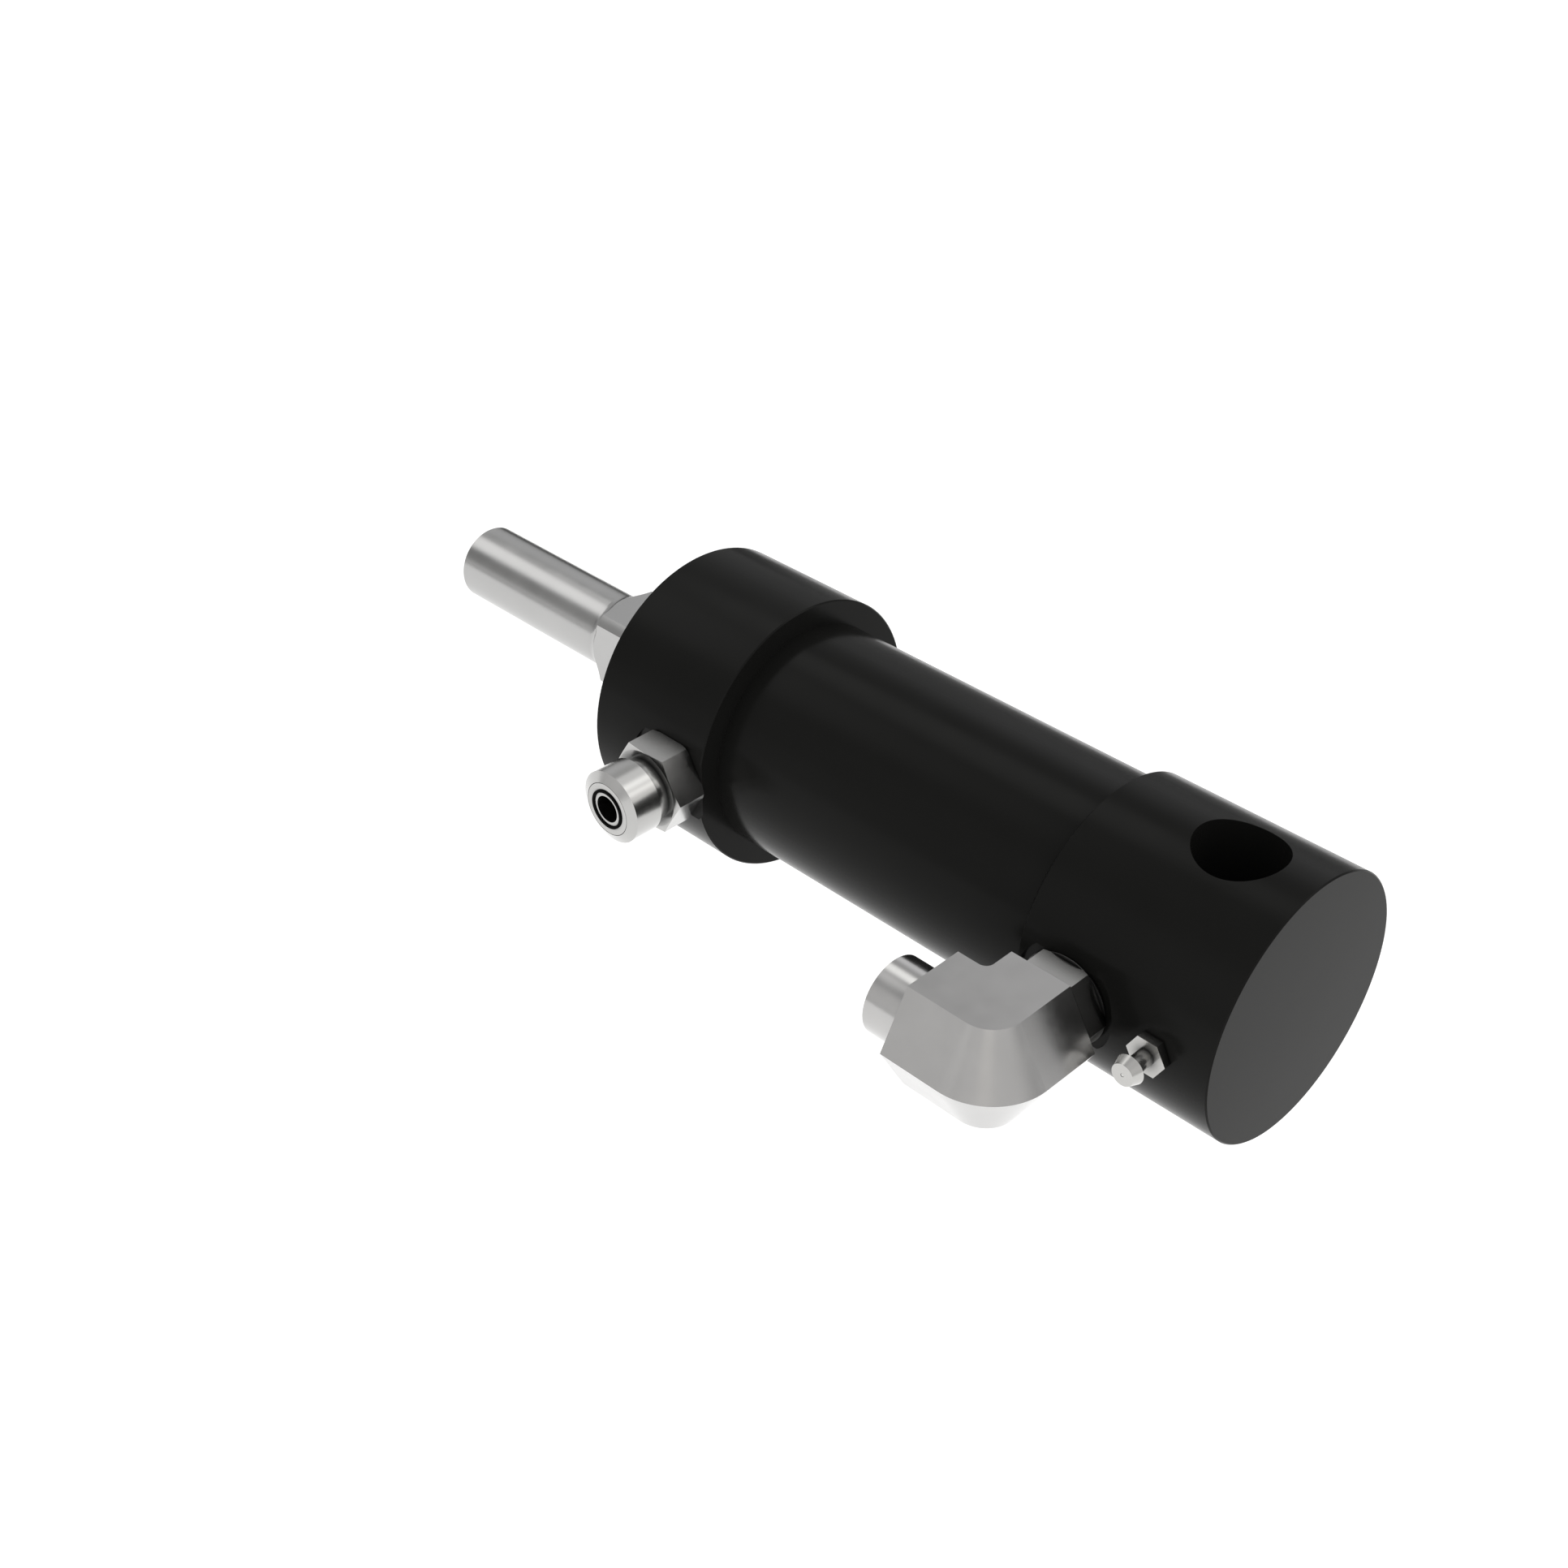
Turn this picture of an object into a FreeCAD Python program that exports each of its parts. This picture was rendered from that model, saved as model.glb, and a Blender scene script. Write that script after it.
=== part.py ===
import FreeCAD, Part
import math
import os

# Short double-acting hydraulic cylinder, shown fully retracted. Millimetres.
# Origin: centre of the base pin bore. +X runs along the barrel away from the rod,
# +Z runs along the pin bore, and both ports face -Y.

# Barrel
BORE_R = 22.5
TUBE_R = 27.5
CAP_R = 30.16
CAP_FRONT_X = -28.5
CAP_END_X = 18.08
CAP_PILOT_R = 22.45
CAP_PILOT_LENGTH = 2.5
PIN_BORE_R = 9.715
WELD_LEG = 1.8
TUBE_MOUTH_X = -150.0
COLLAR_R = 33.2
COLLAR_FRONT_X = -152.2
COLLAR_REAR_X = -117.6
EDGE_BREAK = 0.3
FIT_GAP = 0.02

# Rod guide, screwed into the tube's mouth and sealing on the bore behind the thread
GUIDE_THREAD_R = 24.0
GUIDE_THREAD_LENGTH = 9.0
GUIDE_LIP_R = 27.2
GUIDE_FRONT_X = -153.6
GUIDE_LAND_REAR_X = -134.9
GUIDE_LAND_CHAMFER = 1.0
GUIDE_THREAD_RELIEF = 0.4
GUIDE_NOSE_R = 17.5
GUIDE_NOSE_X = -119.0
GUIDE_ROD_CLEARANCE = 0.3
GUIDE_GROOVE_X = (-140.4, -136.2)
GUIDE_GROOVE_R = 19.7
GUIDE_BACKUP_WIDTH = 1.3
SPANNER_HOLE_R = 2.6
SPANNER_HOLE_DEPTH = 5.0
SPANNER_HOLE_PITCH_R = 21.6
SPANNER_HOLE_COUNT = 4
WIPER_GROOVE_X = (-152.6, -148.1)
WIPER_GROOVE_R = 17.4
WIPER_MOUTH_R = 14.9
WIPER_LIP_REACH = 0.9
WIPER_LIP_LAND = 0.6
WIPER_LIP_EDGE = 0.25
WIPER_LIP_ROOT = 1.4
WIPER_LIP_UNDERCUT = 1.5
WIPER_HEEL_GAP = 1.0
ROD_SEAL_GROOVE_X = (-145.9, -139.9)
ROD_SEAL_GROOVE_R = 17.3
ROD_SEAL_HEEL_GAP = 0.3
ROD_SEAL_LIP_DEPTH = 3.0
ROD_SEAL_LIP_THICKNESS = 0.9
ROD_SEAL_LIP_BEVEL = 1.2
ROD_SEAL_LIP_BEVEL_RISE = 0.5
BEARING_GROOVE_X = (-136.5, -121.5)
BEARING_GROOVE_R = 14.7

# Rod
ROD_R = 12.7
STUB_R = 9.525
STUB_TIP_X = -232.6
STUB_ROOT_X = -182.0
STUB_CHAMFER = 0.8
STUB_FILLET_R = 4.0
FLATS_ACROSS = 19.9
FLATS_REAR_X = -159.0
PISTON_SEAT_R = 8.5
ROD_THREAD_R = 8.0
ROD_THREAD_X = -42.8
ROD_TAIL_X = -32.7
ROD_TAIL_CHAMFER = 1.0

# Piston
PISTON_R = 22.2
PISTON_FRONT_X = -61.5
PISTON_LENGTH = 20.0
PISTON_CHAMFER = 0.8
WEAR_BAND_INSET = 1.8
WEAR_BAND_WIDTH = 4.0
WEAR_BAND_R = 20.2
SEAL_GROOVE_WIDTH = 4.4
SEAL_GROOVE_R = 17.6
SEAL_RING_R = 20.6
BORE_O_RING_SECTION_R = 0.9
BORE_O_RING_GROOVE_WIDTH = 2.6
RING_BORE_CLEARANCE = 0.05
RING_GROOVE_CLEARANCE = 0.08
PISTON_NUT_ACROSS = 24.0
PISTON_NUT_LENGTH = 8.4
PISTON_NUT_CHAMFER = 1.0

# Ports and hose fittings (three-quarter inch hexagons, 9/16 in port thread, 11/16 in hose thread)
HEAD_PORT_X = -127.5
BASE_PORT_X = -16.63
PORT_THREAD_R = 7.14
PORT_DRILL_R = 4.0
PORT_TAP_DEPTH = 13.0
PORT_SPOT_R = 12.0
PORT_SEAT_R = 7.95
PORT_SEAT_DEPTH = 2.4
STUD_UNDERCUT_R = 5.97
STUD_LENGTH = 9.6
STUD_END_BREAK = 0.8
PORT_O_RING_SECTION_R = 0.97
HOSE_THREAD_R = 8.73
HOSE_BORE_R = 3.25
HOSE_FACE_R = 6.3
HOSE_FACE_BEVEL_LENGTH = 1.2
FACE_LINE_WIDTH = 0.16
FACE_LINE_DEPTH = 0.12
FACE_GROOVE_INNER_R = 4.1
FACE_GROOVE_OUTER_R = 4.8
FACE_GROOVE_DEPTH = 1.2
FACE_SEAL_PROUD = 0.25

# Straight adapter on the head port: distances outwards from the cylinder's axis
HEAD_PORT_FACE = 32.1
ADAPTER_HEX_ACROSS = 19.05
ADAPTER_HEX_OUTER = 40.15
ADAPTER_HEX_CHAMFER = 0.5
ADAPTER_CROWN_R = 9.3
ADAPTER_CROWN_DEPTH = 0.4
ADAPTER_NECK_R = 7.6
ADAPTER_NECK_OUTER = 43.3
ADAPTER_FACE = 51.5

# Elbow on the base port: distances outwards from the cylinder's axis
BASE_PORT_FACE = 28.9
ELBOW_AXIS = 52.7
ELBOW_ACROSS = 25.0
ELBOW_ARM = 14.5
ELBOW_THROAT_FILLET = 2.0
ELBOW_NOSE_LENGTH = 11.16
ELBOW_ROOT_OVERLAP = 1.0
LOCKNUT_ACROSS = 19.05
LOCKNUT_INNER = 29.95
LOCKNUT_OUTER = 35.5
LOCKNUT_CHAMFER = 0.4
BACKUP_WASHER_R = 10.3
BACKUP_WASHER_RIM = 0.1
BACKUP_WASHER_BACK_R = 9.5

# Grease fitting beside the elbow
GREASE_X = 5.1
GREASE_SEAT = 30.2
GREASE_HEX_ACROSS = 7.94
GREASE_HEX_OUTER = 32.2
GREASE_THREAD_R = 3.17
GREASE_THREAD_LENGTH = 6.0
GREASE_STUD_BREAK = 0.5
GREASE_TAP_DEPTH = 7.0
GREASE_NECK_R = 1.9
GREASE_NECK_OUTER = 36.4
GREASE_HEAD_R = 3.3
GREASE_HEAD_WIDE = 37.0
GREASE_TIP_R = 2.5
GREASE_TIP = 39.3
GREASE_BORE_R = 1.3
GREASE_FEED_R = 0.8
GREASE_BALL_R = 1.19
GREASE_MOUTH_R = 0.4
GREASE_MOUTH_LAND = 0.07
GREASE_DRILL_R = 1.5
GREASE_SPRING_WIRE_R = 0.18
GREASE_SPRING_PITCH = 0.8
GREASE_SPRING_SEAT = 31.6
GREASE_SPRING_SIDE_GAP = 0.1
GREASE_SPRING_BOTTOM_GAP = 0.05
GREASE_SPRING_TOP_GAP = 0.2

ROOT3 = math.sqrt(3.0)
X_AXIS = FreeCAD.Vector(1, 0, 0)
PORT_AXIS = FreeCAD.Vector(0, -1, 0)
Z_AXIS = FreeCAD.Vector(0, 0, 1)
ORIGIN = FreeCAD.Vector(0, 0, 0)

GUIDE_BORE_R = ROD_R + GUIDE_ROD_CLEARANCE
STUB_FILLET_TURN = math.acos(1 - (ROD_R - STUB_R) / STUB_FILLET_R)
SHOULDER_X = STUB_ROOT_X + STUB_FILLET_R * math.sin(STUB_FILLET_TURN)
PISTON_REAR_X = PISTON_FRONT_X + PISTON_LENGTH
PISTON_MIDDLE_X = PISTON_FRONT_X + PISTON_LENGTH / 2
GREASE_BALL_CENTRE = GREASE_TIP - GREASE_MOUTH_LAND - math.sqrt(GREASE_BALL_R ** 2 - GREASE_MOUTH_R ** 2)
GREASE_SEAT_SLOPE = GREASE_MOUTH_R / (GREASE_TIP - GREASE_MOUTH_LAND - GREASE_BALL_CENTRE)
GREASE_SEAT_DEPTH = (GREASE_BORE_R - GREASE_MOUTH_R) * GREASE_SEAT_SLOPE
WEAR_BAND_STARTS = (PISTON_FRONT_X + WEAR_BAND_INSET, PISTON_REAR_X - WEAR_BAND_INSET - WEAR_BAND_WIDTH)


def face_of(points):
    """Flat face inside a closed outline."""
    return Part.Face(Part.makePolygon(list(points) + [points[0]]))


def corners(outline):
    """Points in the turning plane from (x, radius) pairs."""
    return [FreeCAD.Vector(x, radius, 0) for x, radius in outline]


def turned(outline):
    """Solid turned about the cylinder's axis from (x, radius) corners."""
    return face_of(corners(outline)).revolve(ORIGIN, X_AXIS, 360)


def turned_port(outline, port_x):
    """Solid turned about a port's axis from (distance from the cylinder's axis, radius) corners."""
    points = [FreeCAD.Vector(port_x + radius, -distance, 0) for distance, radius in outline]
    return face_of(points).revolve(FreeCAD.Vector(port_x, 0, 0), PORT_AXIS, 360)


def rod_ring(x_range, inner_r, outer_r):
    """Plain ring about the cylinder's axis."""
    start, end = x_range
    return turned([(start, inner_r), (end, inner_r), (end, outer_r), (start, outer_r)])


def port_rod(port_x, distances, radius):
    """Plain cylinder about a port's axis."""
    start, end = distances
    return Part.makeCylinder(radius, end - start, FreeCAD.Vector(port_x, -start, 0), PORT_AXIS)


def port_torus(port_x, distance, ring_r, section_r):
    """O-ring about a port's axis."""
    return Part.makeTorus(ring_r, section_r, FreeCAD.Vector(port_x, -distance, 0), PORT_AXIS)


def hexagon(centre, across, corner_axis):
    """Upright hexagonal face with corners along corner_axis and flats facing up and down."""
    corner_r = across / ROOT3
    points = []
    for corner in range(6):
        angle = corner * math.pi / 3
        along = corner_axis * (corner_r * math.cos(angle))
        points.append(centre + along + Z_AXIS * (corner_r * math.sin(angle)))
    return face_of(points)


def port_hexagon(port_x, distances, across):
    """Hexagonal prism about a port's axis, with two flats facing up and down."""
    start, end = distances
    centre = FreeCAD.Vector(port_x, -start, 0)
    return hexagon(centre, across, X_AXIS).extrude(PORT_AXIS * (end - start))


def broken_hexagon(port_x, distances, across, break_length):
    """Hexagonal prism about a port's axis, with the corners of its inner end turned down."""
    start, end = distances
    corner_r = across / ROOT3
    trim = [
        (start, 0),
        (start, corner_r - break_length * ROOT3),
        (start + break_length, corner_r),
        (end, corner_r),
        (end, 0),
    ]
    return port_hexagon(port_x, distances, across).common(turned_port(trim, port_x))


def port_cavity(port_x, seat_distance, bottom_distance):
    """Space cut for one port: spot face, O-ring seat and thread."""
    cut = port_rod(port_x, (seat_distance, seat_distance + PORT_SPOT_R), PORT_SPOT_R)
    cut = cut.fuse(port_rod(port_x, (seat_distance - PORT_SEAT_DEPTH, seat_distance), PORT_SEAT_R))
    return cut.fuse(port_rod(port_x, (bottom_distance, seat_distance), PORT_THREAD_R))


def head_port_cavity():
    """Rod-end port, through the collar and the tube's wall."""
    return port_cavity(HEAD_PORT_X, HEAD_PORT_FACE, BORE_R - PORT_DRILL_R)


def barrel_tube():
    end = CAP_FRONT_X
    outline = [
        (TUBE_MOUTH_X, GUIDE_THREAD_R),
        (TUBE_MOUTH_X + GUIDE_THREAD_LENGTH, GUIDE_THREAD_R),
        (TUBE_MOUTH_X + GUIDE_THREAD_LENGTH + GUIDE_THREAD_R - BORE_R, BORE_R),
        (end, BORE_R),
        (end, TUBE_R),
        (TUBE_MOUTH_X, TUBE_R),
    ]
    return turned(outline).cut(head_port_cavity())


def base_cap():
    outline = [
        (CAP_FRONT_X - CAP_PILOT_LENGTH, 0),
        (CAP_END_X, 0),
        (CAP_END_X, CAP_R - EDGE_BREAK),
        (CAP_END_X - EDGE_BREAK, CAP_R),
        (CAP_FRONT_X, CAP_R),
        (CAP_FRONT_X, CAP_PILOT_R),
        (CAP_FRONT_X - CAP_PILOT_LENGTH, CAP_PILOT_R),
    ]
    cap = turned(outline)
    pin_start = FreeCAD.Vector(0, 0, -CAP_R)
    cap = cap.cut(Part.makeCylinder(PIN_BORE_R, 2 * CAP_R, pin_start, Z_AXIS))
    cap = cap.cut(port_cavity(BASE_PORT_X, BASE_PORT_FACE, BASE_PORT_FACE - PORT_TAP_DEPTH))
    cap = cap.cut(port_rod(BASE_PORT_X, (0, BASE_PORT_FACE), PORT_DRILL_R))
    drill_start = FreeCAD.Vector(CAP_FRONT_X - CAP_PILOT_LENGTH, 0, 0)
    cap = cap.cut(Part.makeCylinder(PORT_DRILL_R, BASE_PORT_X - drill_start.x, drill_start, X_AXIS))
    cap = cap.cut(port_rod(GREASE_X, (0, CAP_R), GREASE_DRILL_R))
    return cap.cut(port_rod(GREASE_X, (GREASE_SEAT - GREASE_TAP_DEPTH, GREASE_SEAT), GREASE_THREAD_R))


def base_weld():
    corner_x = CAP_FRONT_X
    return turned([(corner_x, TUBE_R), (corner_x, TUBE_R + WELD_LEG), (corner_x - WELD_LEG, TUBE_R)])


def head_collar():
    outline = [
        (COLLAR_FRONT_X, TUBE_R),
        (COLLAR_REAR_X, TUBE_R),
        (COLLAR_REAR_X, COLLAR_R - EDGE_BREAK),
        (COLLAR_REAR_X - EDGE_BREAK, COLLAR_R),
        (COLLAR_FRONT_X + EDGE_BREAK, COLLAR_R),
        (COLLAR_FRONT_X, COLLAR_R - EDGE_BREAK),
    ]
    return turned(outline).cut(head_port_cavity())


def rod_guide():
    land_r = BORE_R - FIT_GAP
    thread_r = GUIDE_THREAD_R - FIT_GAP
    thread_end = TUBE_MOUTH_X + GUIDE_THREAD_LENGTH - GUIDE_THREAD_RELIEF
    outline = [
        (GUIDE_FRONT_X, GUIDE_BORE_R),
        (GUIDE_FRONT_X, GUIDE_LIP_R - EDGE_BREAK),
        (GUIDE_FRONT_X + EDGE_BREAK, GUIDE_LIP_R),
        (TUBE_MOUTH_X, GUIDE_LIP_R),
        (TUBE_MOUTH_X, thread_r),
        (thread_end, thread_r),
        (thread_end, land_r),
        (GUIDE_LAND_REAR_X, land_r),
        (GUIDE_LAND_REAR_X + GUIDE_LAND_CHAMFER, GUIDE_NOSE_R),
        (GUIDE_NOSE_X, GUIDE_NOSE_R),
        (GUIDE_NOSE_X, GUIDE_BORE_R),
    ]
    guide = turned(outline)
    guide = guide.cut(rod_ring(GUIDE_GROOVE_X, GUIDE_GROOVE_R, GUIDE_THREAD_R))
    guide = guide.cut(rod_ring(WIPER_GROOVE_X, ROD_R, WIPER_GROOVE_R))
    guide = guide.cut(rod_ring((GUIDE_FRONT_X, WIPER_GROOVE_X[0]), ROD_R, WIPER_MOUTH_R))
    guide = guide.cut(rod_ring(ROD_SEAL_GROOVE_X, ROD_R, ROD_SEAL_GROOVE_R))
    guide = guide.cut(rod_ring(BEARING_GROOVE_X, ROD_R, BEARING_GROOVE_R))
    for hole in range(SPANNER_HOLE_COUNT):
        angle = (hole + 0.5) * 2 * math.pi / SPANNER_HOLE_COUNT
        y = SPANNER_HOLE_PITCH_R * math.cos(angle)
        z = SPANNER_HOLE_PITCH_R * math.sin(angle)
        start = FreeCAD.Vector(GUIDE_FRONT_X, y, z)
        guide = guide.cut(Part.makeCylinder(SPANNER_HOLE_R, SPANNER_HOLE_DEPTH, start, X_AXIS))
    return guide


def guide_o_ring():
    start, end = GUIDE_GROOVE_X
    outer_r = BORE_R - FIT_GAP
    inner_r = GUIDE_GROOVE_R + FIT_GAP
    middle_x = start + GUIDE_BACKUP_WIDTH + (end - start - GUIDE_BACKUP_WIDTH) / 2
    section_r = (outer_r - inner_r) / 2
    return Part.makeTorus(inner_r + section_r, section_r, FreeCAD.Vector(middle_x, 0, 0), X_AXIS)


def guide_backup_ring():
    start = GUIDE_GROOVE_X[0] + FIT_GAP
    inner_r = GUIDE_GROOVE_R + FIT_GAP
    return rod_ring((start, start + GUIDE_BACKUP_WIDTH - 2 * FIT_GAP), inner_r, BORE_R - FIT_GAP)


def rod_wiper():
    """Wiper: a heel in its groove and a lip that leans out towards the rod's tip."""
    start, end = WIPER_GROOVE_X
    heel_r = WIPER_GROOVE_R - FIT_GAP
    lip_r = ROD_R + RING_BORE_CLEARANCE
    lip_x = start - WIPER_LIP_REACH
    outline = [
        (start + FIT_GAP, lip_r + WIPER_LIP_ROOT),
        (lip_x, lip_r + WIPER_LIP_EDGE),
        (lip_x, lip_r),
        (lip_x + WIPER_LIP_LAND, lip_r),
        (start + WIPER_LIP_UNDERCUT, lip_r + WIPER_HEEL_GAP),
        (end - FIT_GAP, lip_r + WIPER_HEEL_GAP),
        (end - FIT_GAP, heel_r),
        (start + FIT_GAP, heel_r),
    ]
    return turned(outline)


def rod_seal():
    """U-shaped rod seal: two lips that open towards the pressure side."""
    start, end = ROD_SEAL_GROOVE_X
    front_x = start + FIT_GAP
    rear_x = end - FIT_GAP
    inner_r = ROD_R + RING_BORE_CLEARANCE
    outer_r = ROD_SEAL_GROOVE_R - FIT_GAP
    middle_r = (inner_r + outer_r) / 2
    outline = [
        (front_x, inner_r + ROD_SEAL_HEEL_GAP),
        (rear_x - ROD_SEAL_LIP_BEVEL, inner_r),
        (rear_x, inner_r + ROD_SEAL_LIP_BEVEL_RISE),
        (rear_x, inner_r + ROD_SEAL_LIP_THICKNESS),
        (rear_x - ROD_SEAL_LIP_DEPTH, middle_r),
        (rear_x, outer_r - ROD_SEAL_LIP_THICKNESS),
        (rear_x, outer_r),
        (front_x, outer_r),
    ]
    return turned(outline)


def rod_bearing():
    start, end = BEARING_GROOVE_X
    inner_r = ROD_R + RING_BORE_CLEARANCE
    return rod_ring((start + FIT_GAP, end - FIT_GAP), inner_r, BEARING_GROOVE_R - FIT_GAP)


def stub_fillet():
    """Hollow round that leads from the stub up to the rod, as an edge of the rod's outline."""
    half_turn = STUB_FILLET_TURN / 2
    middle_x = STUB_ROOT_X + STUB_FILLET_R * math.sin(half_turn)
    middle_r = STUB_R + STUB_FILLET_R * (1 - math.cos(half_turn))
    start, middle, end = corners([(STUB_ROOT_X, STUB_R), (middle_x, middle_r), (SHOULDER_X, ROD_R)])
    return Part.Arc(start, middle, end).toShape()


def piston_rod():
    """Rod with a stub end; four wrench flats also cut into the round behind the stub."""
    stub = [
        (STUB_TIP_X, 0),
        (STUB_TIP_X, STUB_R - STUB_CHAMFER),
        (STUB_TIP_X + STUB_CHAMFER, STUB_R),
        (STUB_ROOT_X, STUB_R),
    ]
    shaft = [
        (SHOULDER_X, ROD_R),
        (PISTON_FRONT_X - EDGE_BREAK, ROD_R),
        (PISTON_FRONT_X, ROD_R - EDGE_BREAK),
        (PISTON_FRONT_X, PISTON_SEAT_R),
        (ROD_THREAD_X, PISTON_SEAT_R),
        (ROD_THREAD_X, ROD_THREAD_R),
        (ROD_TAIL_X - ROD_TAIL_CHAMFER, ROD_THREAD_R),
        (ROD_TAIL_X, ROD_THREAD_R - ROD_TAIL_CHAMFER),
        (ROD_TAIL_X, 0),
        (STUB_TIP_X, 0),
    ]
    edges = Part.makePolygon(corners(stub)).Edges + [stub_fillet()] + Part.makePolygon(corners(shaft)).Edges
    rod = Part.Face(Part.Wire(edges)).revolve(ORIGIN, X_AXIS, 360)
    flats_length = FLATS_REAR_X - STUB_ROOT_X
    corner = FreeCAD.Vector(STUB_ROOT_X, -ROD_R, -ROD_R)
    blank = Part.makeBox(flats_length, 2 * ROD_R, 2 * ROD_R, corner)
    half = FLATS_ACROSS / 2
    square_corner = FreeCAD.Vector(STUB_ROOT_X, -half, -half)
    return rod.cut(blank.cut(Part.makeBox(flats_length, FLATS_ACROSS, FLATS_ACROSS, square_corner)))


def piston():
    outline = [
        (PISTON_FRONT_X, PISTON_SEAT_R + FIT_GAP),
        (PISTON_FRONT_X, PISTON_R - PISTON_CHAMFER),
        (PISTON_FRONT_X + PISTON_CHAMFER, PISTON_R),
        (PISTON_REAR_X - PISTON_CHAMFER, PISTON_R),
        (PISTON_REAR_X, PISTON_R - PISTON_CHAMFER),
        (PISTON_REAR_X, PISTON_SEAT_R + FIT_GAP),
    ]
    body = turned(outline)
    for start in WEAR_BAND_STARTS:
        body = body.cut(rod_ring((start, start + WEAR_BAND_WIDTH), WEAR_BAND_R, BORE_R))
    half = SEAL_GROOVE_WIDTH / 2
    body = body.cut(rod_ring((PISTON_MIDDLE_X - half, PISTON_MIDDLE_X + half), SEAL_GROOVE_R, BORE_R))
    o_ring_half = BORE_O_RING_GROOVE_WIDTH / 2
    o_ring_outer = PISTON_SEAT_R + 2 * BORE_O_RING_SECTION_R + 2 * FIT_GAP
    o_ring_range = (PISTON_MIDDLE_X - o_ring_half, PISTON_MIDDLE_X + o_ring_half)
    return body.cut(rod_ring(o_ring_range, PISTON_SEAT_R, o_ring_outer))


def piston_wear_bands():
    bands = []
    for start in WEAR_BAND_STARTS:
        x_range = (start + RING_GROOVE_CLEARANCE, start + WEAR_BAND_WIDTH - RING_GROOVE_CLEARANCE)
        bands.append(rod_ring(x_range, WEAR_BAND_R + RING_GROOVE_CLEARANCE, BORE_R - RING_BORE_CLEARANCE))
    return Part.makeCompound(bands)


def piston_seal():
    half = SEAL_GROOVE_WIDTH / 2 - RING_GROOVE_CLEARANCE
    x_range = (PISTON_MIDDLE_X - half, PISTON_MIDDLE_X + half)
    return rod_ring(x_range, SEAL_RING_R, BORE_R - RING_BORE_CLEARANCE)


def piston_seal_energizer():
    inner_r = SEAL_GROOVE_R + RING_GROOVE_CLEARANCE
    section_r = (SEAL_RING_R - FIT_GAP - inner_r) / 2
    centre = FreeCAD.Vector(PISTON_MIDDLE_X, 0, 0)
    return Part.makeTorus(inner_r + section_r, section_r, centre, X_AXIS)


def piston_bore_o_ring():
    ring_r = PISTON_SEAT_R + FIT_GAP + BORE_O_RING_SECTION_R
    return Part.makeTorus(ring_r, BORE_O_RING_SECTION_R, FreeCAD.Vector(PISTON_MIDDLE_X, 0, 0), X_AXIS)


def piston_nut():
    corner_r = PISTON_NUT_ACROSS / ROOT3
    start = PISTON_REAR_X + FIT_GAP
    end = start + PISTON_NUT_LENGTH
    centre = FreeCAD.Vector(start, 0, 0)
    nut = hexagon(centre, PISTON_NUT_ACROSS, PORT_AXIS).extrude(X_AXIS * PISTON_NUT_LENGTH)
    trim = [
        (start, 0),
        (start, corner_r),
        (end - PISTON_NUT_CHAMFER, corner_r),
        (end, corner_r - PISTON_NUT_CHAMFER * ROOT3),
        (end, 0),
    ]
    bore = Part.makeCylinder(ROD_THREAD_R + FIT_GAP, PISTON_NUT_LENGTH, centre, X_AXIS)
    return nut.common(turned(trim)).cut(bore)


def hose_nose(base_distance, face_distance):
    """Outline corners of a face-seal hose nose: root, bevel, a fine turned line and the face's edge."""
    return [
        (base_distance, HOSE_THREAD_R),
        (face_distance - HOSE_FACE_BEVEL_LENGTH, HOSE_THREAD_R),
        (face_distance, HOSE_FACE_R + FACE_LINE_WIDTH),
        (face_distance - FACE_LINE_DEPTH, HOSE_FACE_R + FACE_LINE_WIDTH / 2),
        (face_distance, HOSE_FACE_R),
    ]


def face_groove(face_distance):
    """Outline corners of the O-ring groove in a hose nose's face."""
    bottom = face_distance - FACE_GROOVE_DEPTH
    return [
        (face_distance, FACE_GROOVE_OUTER_R),
        (bottom, FACE_GROOVE_OUTER_R),
        (bottom, FACE_GROOVE_INNER_R),
        (face_distance, FACE_GROOVE_INNER_R),
    ]


def straight_adapter():
    seat = HEAD_PORT_FACE
    stud_end = seat - STUD_LENGTH
    thread_r = PORT_THREAD_R - FIT_GAP
    outline = [
        (stud_end, HOSE_BORE_R),
        (stud_end, thread_r - STUD_END_BREAK),
        (stud_end + STUD_END_BREAK, thread_r),
        (seat - PORT_SEAT_DEPTH, thread_r),
        (seat - PORT_SEAT_DEPTH, STUD_UNDERCUT_R),
        (seat, STUD_UNDERCUT_R),
        (seat, ADAPTER_NECK_R),
        (ADAPTER_NECK_OUTER, ADAPTER_NECK_R),
    ]
    outline += hose_nose(ADAPTER_NECK_OUTER, ADAPTER_FACE)
    outline += face_groove(ADAPTER_FACE)
    outline += [(ADAPTER_FACE, HOSE_BORE_R)]
    body = turned_port(outline, HEAD_PORT_X)
    hexagon_range = (seat, ADAPTER_HEX_OUTER)
    wrench_hexagon = broken_hexagon(HEAD_PORT_X, hexagon_range, ADAPTER_HEX_ACROSS, ADAPTER_HEX_CHAMFER)
    corner_r = ADAPTER_HEX_ACROSS / ROOT3
    crown = [
        (seat, 0),
        (seat, corner_r),
        (ADAPTER_HEX_OUTER - ADAPTER_CROWN_DEPTH, corner_r),
        (ADAPTER_HEX_OUTER, ADAPTER_CROWN_R),
        (ADAPTER_HEX_OUTER, 0),
    ]
    body = body.fuse(wrench_hexagon.common(turned_port(crown, HEAD_PORT_X)))
    return body.cut(port_rod(HEAD_PORT_X, (stud_end, ADAPTER_FACE), HOSE_BORE_R)).removeSplitter()


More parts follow.
